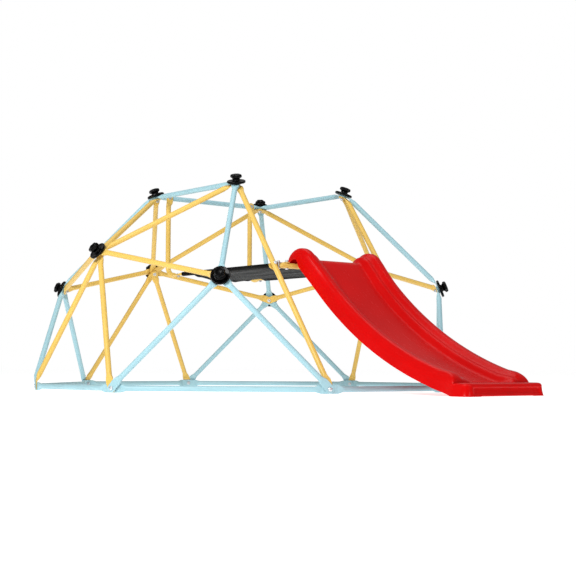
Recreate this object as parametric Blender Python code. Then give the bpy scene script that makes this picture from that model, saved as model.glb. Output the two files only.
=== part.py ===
"""Dome climber for small children: a bolted tube dome, a cloth platform inside it and a moulded slide.

Run with: blender --background --python part.py

Frame: metres, +Z up, ground at z = 0. +X points down the slide, +Y to the left of a child going down it.
The pieces are laid out about the dome's middle, at the height of the base tubes' centre lines. The last step
moves them all, so that the origin lies on the ground under the middle of the whole object.
"""

import math

import bmesh
import bpy
import numpy as np
from mathutils import Matrix, Vector

# ---- driving dimensions, in metres ------------------------------------------------------------------

SHORT_TUBE = 0.606        # bolt to bolt, teal
LONG_TUBE = 0.645         # bolt to bolt, yellow
HALF_ACROSS = 0.900       # dome's middle to the middle of a base side

TUBE_R = 0.0111           # 7/8 inch round steel tube
PLATE_T = 0.0030          # a tube end pressed flat: two walls
PLATE_W = 0.034           # width of the flat, and the diameter of its rounded tip
PLATE_REACH = 0.0265      # bolt to the bend where the flat ends
TAPER = 0.028             # bend to full round tube
GAP = 0.0004              # air between neighbouring pieces
PITCH = PLATE_T + GAP     # step from plate to plate in a bolted stack
HUB_SINK = 0.0145         # a hub's stack of plates, inwards of where the tubes' centre lines meet
FOOT_SINK = 0.005         # the same at the base corners

BOLT_R = 0.004            # M8
BOLT_HOLE_R = 0.0052      # across the corners of a six-sided hole
HEAD_R = 0.0085
HEAD_T = 0.0045
NUT_T = 0.006
BOLT_END = 0.003          # thread left showing past a hub's nut

HUB_R = 0.0395            # moulded hub: flange, neck and lobed knob
HUB_NECK_R = 0.0158
HUB_KNOB_R = 0.0250
HUB_HEIGHT = 0.0375
TOP_HUB_TILT = math.radians(19)     # from upright
CORNER_HUB_RISE = math.radians(22)  # from level
HUB_VALLEY = 0.87         # knob's radius between two lobes, as a share of the radius at a lobe

FRONT_RAIL_Z = 0.494      # centre line
SPARE_BOLT_Y = 0.279
PLATFORM_Y = 0.236        # centre lines of the two frames that carry the cloth, left and right of the middle
SIDE_RAIL_R = 0.008
SIDE_PLATE_W = 0.025
HANGER_FOOT_Z = 0.499
HANGER_BEND_R = 0.045
LAP_BOLT_X = 0.085        # from the hanger's upright

CLOTH_T = 0.0015
CLOTH_SAG = 0.006
CLOTH_RISE = 0.004        # cloth's edge, above the side rails' centre lines
CLOTH_BACK = 0.037        # from the lap bolt
CLOTH_FRONT = 0.032       # from the front rail's centre line
SLEEVE_R = 0.0098
SLEEVE_BORE_R = 0.0086

SLIDE_T = 0.0045
SLIDE_TOP_Z = 0.523       # bed at its crest
SLIDE_CREST_X = 0.025     # crest, in front of the front rail
SLIDE_CREST_R = 0.055
SLIDE_HOOK = math.radians(50)       # turn of the bed behind its crest
SLIDE_STEEP = math.radians(46)
SLIDE_STEEP_RUN = 0.097
SLIDE_BEND_R = 1.528
SLIDE_SHALLOW = math.radians(17)
SLIDE_EXIT_R = 0.137
SLIDE_FRONT_X = 0.955     # front of the foot, from the front rail
SLIDE_HALF_W = 0.205
SLIDE_TOP_HALF_W = 0.217
RIDGE_IN = 0.038          # slide rail's ridge, from the outer wall
RAIL_H = 0.045
RAIL_NOSE = 0.075
RAIL_TAIL = 0.080
WALL_DROP = 0.025         # outer wall's lower edge, below the bed
TOE_L = 0.065
TOE_EXTRA_W = 0.007       # foot's half width over the chute's
TOE_T = 0.005
TOE_CORNER_R = 0.022
TOE_TOP_R = 0.012

GROUND = -PLATE_W / 2

TEAL = (0.46, 0.80, 0.86, 1)
YELLOW = (0.93, 0.63, 0.17, 1)
BLACK = (0.012, 0.012, 0.013, 1)
RED = (0.80, 0.02, 0.02, 1)
CLOTH_BLACK = (0.018, 0.018, 0.019, 1)

SIDES = ("right", "back", "left", "front")
CORNERS = ("front_right", "back_right", "back_left", "front_left")
X, Y, Z = Vector((1, 0, 0)), Vector((0, 1, 0)), Vector((0, 0, 1))


# ---- objects and meshes -------------------------------------------------------------------------------

def clear_scene():
    for obj in list(bpy.data.objects):
        bpy.data.objects.remove(obj, do_unlink=True)


def material(name, colour, roughness):
    made = bpy.data.materials.new(name)
    made.use_nodes = True
    shader = made.node_tree.nodes["Principled BSDF"]
    shader.inputs["Base Color"].default_value = colour
    shader.inputs["Roughness"].default_value = roughness
    made.diffuse_color = colour
    return made


def add_object(name, bm, origin, surface=None):
    """Makes an object with its origin at `origin`. One without a surface is a cutter or is joined to another."""
    bmesh.ops.recalc_face_normals(bm, faces=bm.faces)
    mesh = bpy.data.meshes.new(name)
    bm.to_mesh(mesh)
    bm.free()
    mesh.transform(Matrix.Translation(-origin))
    obj = bpy.data.objects.new(name, mesh)
    bpy.context.scene.collection.objects.link(obj)
    obj.location = origin
    if surface:
        own = surface.copy()
        own.name = name
        mesh.materials.append(own)
        mesh.shade_smooth()
        mesh.set_sharp_from_angle(angle=math.radians(35))
    else:
        obj.hide_render = True
        obj.display_type = "WIRE"
    return obj


def boolean(obj, other, operation="DIFFERENCE"):
    modifier = obj.modifiers.new(f"{operation.lower()} {other.name}", "BOOLEAN")
    modifier.operation = operation
    modifier.object = other
    modifier.solver = "EXACT"


def bridge(rings):
    """A closed skin through rings of equally many points, with a flat cap at each end."""
    bm = bmesh.new()
    made = [[bm.verts.new(point) for point in ring] for ring in rings]
    count = len(rings[0])
    for near, far in zip(made, made[1:]):
        for i in range(count):
            j = (i + 1) % count
            bm.faces.new((near[i], near[j], far[j], far[i]))
    bm.faces.new(made[0][::-1])
    bm.faces.new(made[-1])
    return bm


def turned(centre, axis, profile, sides=6, valley=None):
    """A turned piece from (radius, height, lobed) rows. A lobed row is narrower by `valley` at every other point."""
    side = axis.orthogonal().normalized()
    up = axis.cross(side)
    rings = []
    for radius, height, lobed in profile:
        ring = []
        for i in range(sides):
            angle = math.tau * i / sides
            reach = radius * (valley if lobed and i % 2 else 1)
            ring.append(centre + axis * height + (side * math.cos(angle) + up * math.sin(angle)) * reach)
        rings.append(ring)
    return bridge(rings)


def rod(centre, axis, radius, start, end, sides=6):
    return turned(centre, axis, [(radius, start, False), (radius, end, False)], sides)


def drill(obj, centre, axis, start=-0.03, end=0.03, radius=BOLT_HOLE_R):
    boolean(obj, add_object(f"{obj.name} hole", rod(centre, axis, radius, start, end), centre))


def add_bolt(obj, centre, axis, head, nut):
    """Joins a bolt to obj. Its round head rests at height `head` along axis from centre, and its nut at `nut`."""
    sign = 1 if head > nut else -1
    profile = [
        (0.8 * HEAD_R, nut - sign * NUT_T, False),
        (0.8 * HEAD_R, nut, False),
        (BOLT_R, nut, False),
        (BOLT_R, head, False),
        (HEAD_R, head, False),
        (0.6 * HEAD_R, head + sign * HEAD_T, False),
    ]
    boolean(obj, add_object(f"{obj.name} bolt", turned(centre, axis, profile), centre), "UNION")


# ---- tubes with flattened ends --------------------------------------------------------------------------

def section(centre, wide, thick, half_w, half_t, flat):
    """Eight points round a tube: flat 0 gives a round section, flat 1 a pressed one with blunt edges."""
    ring = []
    for i in range(8):
        angle = math.tau * (i + 0.5) / 8
        c, s = math.cos(angle), math.sin(angle)
        w = c + flat * (math.copysign(1 if abs(c) > 0.5 else 0.8, c) - c)
        t = s + flat * (math.copysign(1 if abs(s) > 0.5 else 0.4, s) - s)
        ring.append(centre + wide * w * half_w + thick * t * half_t)
    return ring


def flat_end(bolt, away, thick, width=PLATE_W, reach=PLATE_REACH):
    """Rings of a pressed end, from its rounded tip to where the flat stops. `away` leads into the tube."""
    wide = thick.cross(away)
    rings = []
    for degrees in (22, 58):
        angle = math.radians(degrees)
        centre = bolt - away * width / 2 * math.cos(angle)
        rings.append(section(centre, wide, thick, width / 2 * math.sin(angle), PLATE_T / 2, 1))
    rings.append(section(bolt + away * reach, wide, thick, width / 2, PLATE_T / 2, 1))
    return rings


def follow_on(rings, more):
    """Adds the rings of the far end, tip last, each started at the point that twists the skin least."""
    for ring in more:
        ring = ring[::-1]
        before = rings[-1]
        step = sum(ring, Vector()) / 8 - sum(before, Vector()) / 8
        best = min(range(8), key=lambda k: sum((ring[(i + k) % 8] - before[i] - step).length for i in range(8)))
        rings.append([ring[(i + best) % 8] for i in range(8)])
    return rings


def bent_tube(near, far, near_out, far_out):
    """A straight tube between two bolts. Each end is pressed flat, square to its bolt, and bent to fit."""
    bends, aways = [], []
    for here, there, out in ((near, far, near_out), (far, near, far_out)):
        away = there - here
        away = (away - out * away.dot(out)).normalized()
        bends.append(here + away * PLATE_REACH)
        aways.append(away)
    along = (bends[1] - bends[0]).normalized()

    def half(bolt, bend, away, out, into):
        """Rings from the tip to full round; `into` is the unit direction into the tube."""
        rings = flat_end(bolt, away, out)[:2]
        middle = (away + into).normalized()
        thick = (out - middle * out.dot(middle)).normalized()
        wide = thick.cross(middle)
        rings.append(section(bend, wide, thick, PLATE_W / 2, PLATE_T / 2, 1))
        thick = (out - into * out.dot(into)).normalized()
        wide = thick.cross(into)
        rings.append(section(bend + into * 0.35 * TAPER, wide, thick, 0.47 * PLATE_W, 0.52 * TUBE_R, 0.5))
        rings.append(section(bend + into * TAPER, wide, thick, TUBE_R, TUBE_R, 0))
        return rings

    first = half(near, bends[0], aways[0], near_out, along)
    last = half(far, bends[1], aways[1], far_out, -along)
    span = along * ((bends[1] - bends[0]).length - 2 * TAPER)
    first.append([point + span for point in first[-1]])
    return bridge(follow_on(first, last[-2::-1]))


# ---- the dome's joints --------------------------------------------------------------------------------

def solve_layout():
    """Places of the hubs, from the two tube lengths and the base width, by Newton's method."""
    half = SHORT_TUBE / 2

    def misfit(v):
        corner, corner_z, top_z, side, side_z = v
        short, long = SHORT_TUBE ** 2, LONG_TUBE ** 2
        return np.array([
            (corner - half) ** 2 + (HALF_ACROSS - corner) ** 2 + corner_z ** 2 - short,
            2 * (corner - half) ** 2 + (top_z - corner_z) ** 2 - short,
            half ** 2 + (HALF_ACROSS - side) ** 2 + side_z ** 2 - long,
            half ** 2 + (side - half) ** 2 + (top_z - side_z) ** 2 - long,
            corner ** 2 + (side - corner) ** 2 + (side_z - corner_z) ** 2 - long,
        ])

    v = HALF_ACROSS * np.array([0.68, 0.48, 0.95, 0.87, 0.62])
    step = 1e-7
    for _ in range(20):
        slope = np.array([(misfit(v + step * unit) - misfit(v)) / step for unit in np.eye(5)]).T
        v = v - np.linalg.solve(slope, misfit(v))
    return [float(x) for x in v]


def heading(azimuth):
    return Vector((math.cos(azimuth), math.sin(azimuth), 0))


def dome_joints():
    """Every bolted joint of the dome: where its tubes' centre lines meet, and its bolt's outward direction."""
    corner, corner_z, top_z, side, side_z = solve_layout()
    joints = {}
    for k in range(4):
        azimuth = -math.pi / 2 * (k + 1)
        out, along = heading(azimuth), heading(azimuth + math.pi / 2)
        for end, way in ((0, 1), (1, -1)):
            place = out * HALF_ACROSS + along * way * SHORT_TUBE / 2
            joints["foot", k, end] = (place, heading(azimuth + way * math.pi / 8))
        if SIDES[k] != "front":
            place = out * side + Z * side_z
            joints["side", k] = (place, place.normalized())
    for j in range(4):
        out = heading(-math.pi / 4 - math.pi / 2 * j)
        place = out * corner * math.sqrt(2) + Z * corner_z
        rise = CORNER_HUB_RISE
        joints["corner", j] = (place, out * math.cos(rise) + Z * math.sin(rise))
        place = out * SHORT_TUBE / math.sqrt(2) + Z * top_z
        tilt = TOP_HUB_TILT
        joints["top", j] = (place, out * math.sin(tilt) + Z * math.cos(tilt))
    return joints


def dome_tubes():
    """Every tube of the dome: name, its two joints and whether it is yellow."""
    tubes = []
    for k, side in enumerate(SIDES):
        after = (k + 1) % 4
        tubes.append((f"base_short_{side}", ("foot", k, 0), ("foot", k, 1), False))
        if side == "front":
            continue
        tubes.append((f"top_rail_{side}", ("top", k), ("top", after), False))
        for i, corner in enumerate((k, after)):
            tubes.append((f"upper_brace_{side}_{i + 1}", ("top", corner), ("side", k), True))
            tubes.append((f"side_rail_{side}_{i + 1}", ("side", k), ("corner", corner), True))
            tubes.append((f"lower_brace_{side}_{i + 1}", ("side", k), ("foot", k, i), True))
    for j, corner in enumerate(CORNERS):
        before = (j - 1) % 4
        tubes.append((f"corner_post_{corner}", ("top", j), ("corner", j), False))
        tubes.append((f"corner_leg_{corner}_1", ("corner", j), ("foot", before, 1), False))
        tubes.append((f"corner_leg_{corner}_2", ("corner", j), ("foot", j, 0), False))
        tubes.append((f"base_long_{corner}", ("foot", before, 1), ("foot", j, 0), False))
    tubes.append(("slide_post_right", ("top", 0), ("foot", 3, 1), True))
    tubes.append(("slide_post_left", ("top", 3), ("foot", 3, 0), True))
    return tubes


def stack_plates(joints, tubes):
    """Where each tube end's plate lies on its bolt: the steeper a tube dives inwards, the deeper its plate."""
    ends = {joint: [] for joint in joints}
    for name, a, b, _ in tubes:
        for here, there in ((a, b), (b, a)):
            place, out = joints[here]
            dive = -(joints[there][0] - place).normalized().dot(out)
            if name.startswith("corner_post"):
                dive -= 0.3  # outermost, clear of a slide post beside it
            ends[here].append((round(dive, 4), "base_long" in name, name))
    places = {}
    for joint, found in ends.items():
        place, out = joints[joint]
        for k, (_, _, name) in enumerate(sorted(found)):
            level = PITCH * ((len(found) - 1) / 2 - k)
            places[name, joint] = place + out * (level - sink(joint))
    return places, {joint: len(found) for joint, found in ends.items()}


def sink(joint):
    return FOOT_SINK if joint[0] == "foot" else HUB_SINK


JOINTS = dome_joints()
TUBES = dome_tubes()
PLATES, STACKED = stack_plates(JOINTS, TUBES)


def make_dome(teal, yellow):
    """The tubes, each drilled at both ends. The base tubes' own bolts are joined to the four short ones."""
    made = {}
    for name, a, b, is_yellow in TUBES:
        near, far = PLATES[name, a], PLATES[name, b]
        bm = bent_tube(near, far, JOINTS[a][1], JOINTS[b][1])
        tube = add_object(name, bm, (near + far) / 2, yellow if is_yellow else teal)
        made[name] = tube
        for joint, bolt in ((a, near), (b, far)):
            if name.startswith("base_short"):
                place, out = JOINTS[joint]
                reach = PITCH * STACKED[joint] / 2 + GAP
                add_bolt(tube, place - out * sink(joint), out, reach, -reach)
            else:
                drill(tube, bolt, JOINTS[joint][1], -0.006, 0.006)
    return made


def make_hub(name, joint, black):
    """Flange, neck and six-lobed knob outside the tube ends, with the bolt that runs through them and its nut."""
    place, out = JOINTS[joint]
    place = place - out * sink(joint)
    low = PITCH * STACKED[joint] / 2 + GAP
    profile = [
        (BOLT_R, -low - NUT_T - BOLT_END, False),
        (0.8 * HEAD_R, -low - NUT_T, False),
        (0.8 * HEAD_R, -low, False),
        (BOLT_R, -low, False),
        (BOLT_R, low, False),
        (0.6 * HUB_R, low, False),
        (HUB_R, low + 0.0022, False),
        (HUB_R - 0.0020, low + 0.0095, False),
        (HUB_NECK_R, low + 0.0090, False),
        (HUB_NECK_R, low + 0.0210, False),
        (HUB_KNOB_R, low + 0.0230, True),
        (0.93 * HUB_KNOB_R, low + 0.0330, True),
        (0.60 * HUB_KNOB_R, low + HUB_HEIGHT, False),
    ]
    return add_object(name, turned(place, out, profile, 12, HUB_VALLEY), place, black)


# ---- front rail and platform ----------------------------------------------------------------------------

def centre_line(name, a, b):
    """A point on a dome tube's straight centre line, and its direction from joint a to joint b."""
    ends = []
    for joint, other in ((a, b), (b, a)):
        out = JOINTS[joint][1]
        bolt = PLATES[name, joint]
        away = PLATES[name, other] - bolt
        away = (away - out * away.dot(out)).normalized()
        ends.append(bolt + away * PLATE_REACH)
    return ends[0], (ends[1] - ends[0]).normalized()


def front_rail_place():
    """The front rail's middle. Its plates are flush with its inner side and lie inside the slide posts."""
    start, along = centre_line("slide_post_right", ("top", 0), ("foot", 3, 1))
    out = Vector((-along.z, 0, along.x)).normalized()
    post = start + along * (FRONT_RAIL_Z + out.z * PITCH - start.z) / along.z
    return Vector((post.x - out.x * PITCH, 0, FRONT_RAIL_Z)), out, abs(post.y)


RAIL, POST_OUT, POST_Y = front_rail_place()


def pressed_end(bolt, away, thick, centre, radius, width=PLATE_W, reach=0.018):
    """Rings of an end whose flat lies off the tube's centre line: tip, flat, crimp, then full round at centre."""
    wide = thick.cross(away)
    rings = flat_end(bolt, away, thick, width, reach)
    rings.append(section((bolt + away * reach + centre) / 2, wide, thick, 0.47 * width, 0.6 * radius, 0.5))
    rings.append(section(centre, wide, thick, radius, radius, 0))
    return rings


def make_front_rail(yellow):
    ends = []
    for side in (-1, 1):
        bolt = RAIL + Y * side * POST_Y - POST_OUT * (TUBE_R - PLATE_T / 2)
        centre = RAIL + Y * side * (POST_Y - 0.040)
        ends.append(pressed_end(bolt, -Y * side, POST_OUT, centre, TUBE_R))
    rail = add_object("front_rail", bridge(follow_on(ends[0], ends[1][::-1])), RAIL, yellow)
    for side in (-1, 1):
        add_bolt(rail, RAIL + Y * side * POST_Y, POST_OUT, PITCH + TUBE_R + GAP, 0.0005 - TUBE_R)
        stack = TUBE_R + GAP + PITCH
        add_bolt(rail, RAIL + Y * side * PLATFORM_Y, Z, 0.001 - TUBE_R, stack)
        add_bolt(rail, RAIL + Y * side * SPARE_BOLT_Y, Z, 0.001 - TUBE_R, TUBE_R - 0.001)
    return rail


def platform_places():
    """The hanger's bolt in the back top rail, its upright's centre line, and the lap bolt under the side rail."""
    top, _ = centre_line("top_rail_back", ("top", 1), ("top", 2))
    bolt = Vector((top.x, 0, top.z))
    upright = Vector((top.x + PITCH, 0, 0))
    lap = upright + X * LAP_BOLT_X + Z * HANGER_FOOT_Z
    return bolt, upright, lap


HANGER_BOLT, UPRIGHT, LAP = platform_places()
SIDE_RAIL_Z = FRONT_RAIL_Z + TUBE_R + PITCH - SIDE_RAIL_R


def hanger_mesh(y):
    """From the back top rail straight down, then forwards along the side rail."""
    side = Y * y
    plate = HANGER_BOLT + X * (TUBE_R + GAP + PLATE_T / 2) + side
    below = UPRIGHT + Z * (plate.z - 0.040) + side
    rings = pressed_end(plate, -Z, X, below, TUBE_R)
    turn = UPRIGHT + X * HANGER_BEND_R + Z * (HANGER_FOOT_Z + HANGER_BEND_R) + side
    for degrees in (0, 22.5, 45, 67.5, 90):
        angle = math.radians(degrees)
        away = Vector((math.cos(angle), 0, math.sin(angle)))
        rings.append(section(turn - away * HANGER_BEND_R, Y, away, TUBE_R, TUBE_R, 0))
    bolt = LAP - Z * PLATE_T / 2 + side
    foot = pressed_end(bolt, -X, Z, LAP - X * 0.036 + side, TUBE_R)
    return bridge(follow_on(rings, foot[::-1]))


def side_rail_mesh(y):
    side = Y * y
    back = LAP + Z * (PLATE_T / 2 - 0.0003) + side
    front = RAIL + Z * (TUBE_R + GAP + PLATE_T / 2) + side
    ends = []
    for bolt, away in ((back, X), (front, -X)):
        centre = Vector((bolt.x, bolt.y, SIDE_RAIL_Z)) + away * 0.030
        ends.append(pressed_end(bolt, away, Z, centre, SIDE_RAIL_R, SIDE_PLATE_W, 0.014))
    return bridge(follow_on(ends[0], ends[1][::-1]))


def make_platform_frame(name, y, made, yellow):
    """An L-shaped hanger with the thinner side rail lapped and bolted on to its foot."""
    side = Y * y
    frame = add_object(name, hanger_mesh(y), LAP + side, yellow)
    rail = add_object(f"{name} rail", side_rail_mesh(y), LAP + side)
    drill(rail, RAIL + side, Z)
    boolean(frame, rail, "UNION")
    add_bolt(frame, LAP + side, Z, PLATE_T - 0.0005, 0.0005 - PLATE_T)
    add_bolt(frame, HANGER_BOLT + side, X, -TUBE_R - GAP, TUBE_R + PITCH - 0.0005)
    drill(made["top_rail_back"], HANGER_BOLT + side, X)


def make_cloth(black):
    """A sheet with a sleeve along each side rail, hanging a little in the middle."""
    back, front = LAP.x + CLOTH_BACK, RAIL.x - CLOTH_FRONT
    middle = Vector(((back + front) / 2, 0, SIDE_RAIL_Z))
    steps = [PLATFORM_Y * (i / 4 - 1) for i in range(9)]

    def outline(x):
        over, under = [], []
        for y in steps:
            z = SIDE_RAIL_Z + CLOTH_RISE - CLOTH_SAG * (1 - (y / PLATFORM_Y) ** 2)
            over.append(Vector((x, y, z + CLOTH_T / 2)))
            under.append(Vector((x, y, z - CLOTH_T / 2)))
        return over + under[::-1]

    cloth = add_object("platform_cloth", bridge([outline(back), outline(front)]), middle, black)
    for operation, radius, extra in (("UNION", SLEEVE_R, 0), ("DIFFERENCE", SLEEVE_BORE_R, 0.01)):
        for side in (-1, 1):
            place = Vector((0, side * PLATFORM_Y, SIDE_RAIL_Z))
            tool = rod(place, X, radius, back - extra, front + extra, 10)
            boolean(cloth, add_object(f"sleeve {operation}", tool, middle), operation)


# ---- slide ----------------------------------------------------------------------------------------------

def smooth_step(value):
    value = min(max(value, 0), 1)
    return value * value * (3 - 2 * value)


def chute_path():
    """(point, slope) down the middle of the bed: over the crest, down the chute and out along the ground."""
    path = []
    crest = RAIL + X * SLIDE_CREST_X
    crest.z = SLIDE_TOP_Z

    def arc(start, radius, slopes):
        """Adds an arc that starts level at `start`, or would if it were carried back to slope 0."""
        for slope in slopes:
            drop = X * math.sin(slope) * radius - Z * (1 - math.cos(slope)) * radius
            path.append((start + drop, slope))

    hook = SLIDE_HOOK
    arc(crest, SLIDE_CREST_R, (-hook, -0.84 * hook, -0.55 * hook, -0.15 * hook))
    arc(crest, SLIDE_CREST_R, (0.22 * SLIDE_STEEP, 0.62 * SLIDE_STEEP, SLIDE_STEEP))
    down = Vector((math.cos(SLIDE_STEEP), 0, -math.sin(SLIDE_STEEP)))
    path.append((path[-1][0] + down * SLIDE_STEEP_RUN, SLIDE_STEEP))
    for radius, slopes in (
        (SLIDE_BEND_R, [SLIDE_STEEP + (SLIDE_SHALLOW - SLIDE_STEEP) * i / 6 for i in range(1, 7)]),
        (SLIDE_EXIT_R, [SLIDE_SHALLOW / 2, 0]),
    ):
        last, steep = path[-1]
        for slope in slopes:
            across = X * (math.sin(steep) - math.sin(slope)) * radius
            path.append((last + across - Z * (math.cos(slope) - math.cos(steep)) * radius, slope))
    exit_point = path[-1][0]
    front = RAIL.x + SLIDE_FRONT_X
    for back_off in (0.110, 0.092, 0.079, 0.071, 0.020):
        path.append((Vector((front - back_off, 0, exit_point.z)), 0))
    return path


def chute_section(point, slope, run, to_end):
    """Points across the chute, from the left outer wall's lower edge to the right one's."""
    share = min(max(run / RAIL_NOSE, 0), 1)
    height = RAIL_H * math.sqrt(1 - (1 - share) ** 2)
    share = min(max(to_end / RAIL_TAIL, 0), 1)
    height = min(height, RAIL_H * math.sqrt(1 - (1 - share) ** 2)) + 0.0004
    half_w = SLIDE_TOP_HALF_W + (SLIDE_HALF_W - SLIDE_TOP_HALF_W) * smooth_step((run - 0.05) / 0.20)
    ridge = half_w - RIDGE_IN
    drop = WALL_DROP * smooth_step((run - 0.06) / 0.05)
    half = [
        (half_w, -drop),
        (half_w - 0.002, 0.25 * height),
        (half_w - 0.011, 0.68 * height),
        (ridge + 0.010, 0.96 * height),
        (ridge - 0.010, 0.98 * height),
        (ridge - 0.032, 0.70 * height),
        (ridge - 0.050, 0.22 * height),
        (ridge - 0.066, 0.0),
    ]
    normal = Vector((math.sin(slope), 0, math.cos(slope)))
    line = half + [(0, 0)] + [(-y, h) for y, h in half[::-1]]
    return [point + Y * y + normal * h for y, h in line]


def shell(grid, thickness):
    """A closed body: the grid of points as its outer skin, and the same grid moved in by the thickness."""
    rows, columns = len(grid), len(grid[0])
    bm = bmesh.new()
    outer = [[bm.verts.new(point) for point in row] for row in grid]
    inner = []
    for i in range(rows):
        made = []
        for j in range(columns):
            down = grid[min(i + 1, rows - 1)][j] - grid[max(i - 1, 0)][j]
            over = grid[i][min(j + 1, columns - 1)] - grid[i][max(j - 1, 0)]
            made.append(bm.verts.new(grid[i][j] + down.cross(over).normalized() * thickness))
        inner.append(made)
    for skin in (outer, inner):
        for i in range(rows - 1):
            for j in range(columns - 1):
                bm.faces.new((skin[i][j], skin[i][j + 1], skin[i + 1][j + 1], skin[i + 1][j]))
    rim = [(0, j) for j in range(columns - 1)] + [(i, columns - 1) for i in range(rows - 1)]
    rim += [(rows - 1, j) for j in range(columns - 1, 0, -1)] + [(i, 0) for i in range(rows - 1, 0, -1)]
    for (i, j), (k, m) in zip(rim, rim[1:] + rim[:1]):
        bm.faces.new((outer[i][j], outer[k][m], inner[k][m], inner[i][j]))
    return bm


def make_slide(red):
    path = chute_path()
    runs = [0]
    for (here, _), (there, _) in zip(path, path[1:]):
        runs.append(runs[-1] + (there - here).length)
    end = runs[-2]
    grid = [chute_section(point, slope, run, end - run) for (point, slope), run in zip(path, runs)]
    slide = add_object("slide", shell(grid, SLIDE_T), path[8][0], red)
    boolean(slide, make_toe(path[-1][0]), "UNION")
    return slide


def make_toe(end):
    """The slide's foot: a hollow box, open behind, whose flat underside rests on the ground."""
    front = RAIL.x + SLIDE_FRONT_X
    half_w = SLIDE_HALF_W + TOE_EXTRA_W
    top = end.z + 0.001
    rings = []
    for z, inset in (
        (GROUND, 0),
        (top - TOE_TOP_R, 0.003),
        (top - 0.3 * TOE_TOP_R, 0.003 + 0.3 * TOE_TOP_R),
        (top, 0.003 + TOE_TOP_R),
    ):
        r = TOE_CORNER_R - inset / 2
        ring = [Vector((front - TOE_L, -half_w + inset, z)), Vector((front - TOE_L, half_w - inset, z))]
        for side in (1, -1):
            for degrees in (0, 30, 60, 90)[::side]:
                angle = math.radians(degrees)
                x = front - inset - r + r * math.sin(angle)
                y = half_w - inset - r + r * math.cos(angle)
                ring.append(Vector((x, side * y, z)))
        rings.append(ring)
    middle = Vector((front - TOE_L / 2, 0, (GROUND + top) / 2))
    toe = add_object("slide toe", bridge(rings), middle)
    low, high = GROUND + TOE_T, top - 0.007
    side = half_w - 2 * TOE_T - 0.004
    rings = []
    for x in (front - TOE_L - 0.01, front - 0.018):
        rings.append([Vector((x, y, z)) for y, z in ((-side, low), (side, low), (side, high), (-side, high))])
    boolean(toe, add_object("slide toe hollow", bridge(rings), middle))
    return toe


# ---- the whole object -----------------------------------------------------------------------------------

def centre_on_ground():
    """Moves everything so that the origin is on the ground, under the middle of the whole object."""
    bpy.context.view_layer.update()
    graph = bpy.context.evaluated_depsgraph_get()
    low, high = Vector((9, 9, 9)), Vector((-9, -9, -9))
    for obj in bpy.data.objects:
        if obj.hide_render:
            continue
        done = obj.evaluated_get(graph)
        for vertex in done.data.vertices:
            place = done.matrix_world @ vertex.co
            low = Vector(map(min, low, place))
            high = Vector(map(max, high, place))
    shift = Vector((-(low.x + high.x) / 2, -(low.y + high.y) / 2, -low.z))
    for obj in bpy.data.objects:
        obj.location += shift
    print(f"shift {shift.x:.5f} {shift.y:.5f} {shift.z:.5f}")


def main():
    clear_scene()
    teal = material("teal", TEAL, 0.35)
    yellow = material("yellow", YELLOW, 0.35)
    black = material("black", BLACK, 0.25)
    tubes = make_dome(teal, yellow)
    for j, corner in enumerate(CORNERS):
        make_hub(f"hub_top_{corner}", ("top", j), black)
        make_hub(f"hub_corner_{corner}", ("corner", j), black)
    for k, side in enumerate(SIDES[:3]):
        make_hub(f"hub_side_{side}", ("side", k), black)
    for side in (-1, 1):
        bolt = RAIL + Y * side * POST_Y
        drill(tubes["slide_post_" + ("left" if side > 0 else "right")], bolt, POST_OUT)
    make_front_rail(yellow)
    make_platform_frame("platform_frame_right", -PLATFORM_Y, tubes, yellow)
    make_platform_frame("platform_frame_left", PLATFORM_Y, tubes, yellow)
    make_cloth(material("cloth", CLOTH_BLACK, 0.6))
    make_slide(material("red", RED, 0.3))
    centre_on_ground()


main()
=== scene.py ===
"""Looks of the dome climber: finely meshed tubes, hubs, bolts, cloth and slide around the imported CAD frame.

Pieces are laid out in the dome's own frame, as in the CAD source: its origin is at the dome's middle, at the
height of the base tubes' centre lines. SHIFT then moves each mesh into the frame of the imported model.
"""

import math

import bmesh
import bpy
import numpy as np
from mathutils import Matrix, Vector


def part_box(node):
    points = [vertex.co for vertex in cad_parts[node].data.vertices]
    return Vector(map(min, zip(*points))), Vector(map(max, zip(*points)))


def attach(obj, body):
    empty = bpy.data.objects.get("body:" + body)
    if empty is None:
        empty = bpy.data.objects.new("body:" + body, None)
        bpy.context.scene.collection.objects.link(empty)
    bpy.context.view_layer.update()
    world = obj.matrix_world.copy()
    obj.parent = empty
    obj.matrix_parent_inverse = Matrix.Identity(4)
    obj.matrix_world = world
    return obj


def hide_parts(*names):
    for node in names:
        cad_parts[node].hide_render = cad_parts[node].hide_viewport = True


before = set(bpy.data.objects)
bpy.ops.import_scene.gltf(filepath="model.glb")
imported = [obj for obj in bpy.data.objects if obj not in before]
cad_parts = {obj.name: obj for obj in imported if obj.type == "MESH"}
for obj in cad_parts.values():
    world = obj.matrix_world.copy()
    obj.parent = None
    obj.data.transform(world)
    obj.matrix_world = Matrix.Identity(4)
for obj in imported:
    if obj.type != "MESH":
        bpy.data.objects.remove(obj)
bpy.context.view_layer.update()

# ---- driving dimensions, in metres -------------------

# Those that the CAD source has too are the same there, except the sheet's thickness and height, its sleeves'
# radius and the extra width of the slide's foot (by up to 2 mm) and the hubs' valleys (by 3 percent).
SHORT_TUBE = 0.606
LONG_TUBE = 0.645
HALF_ACROSS = 0.900

TUBE_R = 0.0111
PLATE_T = 0.0030
PLATE_W = 0.034
PLATE_REACH = 0.0265
TAPER = 0.028
BEND_EASE = 0.005         # half the length of the bend between flat and tube
GAP = 0.0004
PITCH = PLATE_T + GAP
HUB_SINK = 0.0145
FOOT_SINK = 0.005

BOLT_R = 0.004
HEAD_R = 0.0085
HEAD_T = 0.0045
NUT_T = 0.006
NUT_R = 0.8 * HEAD_R
BOLT_END = 0.003
WASHER_T = 0.0010
THREAD_STEP = 0.0004

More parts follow.
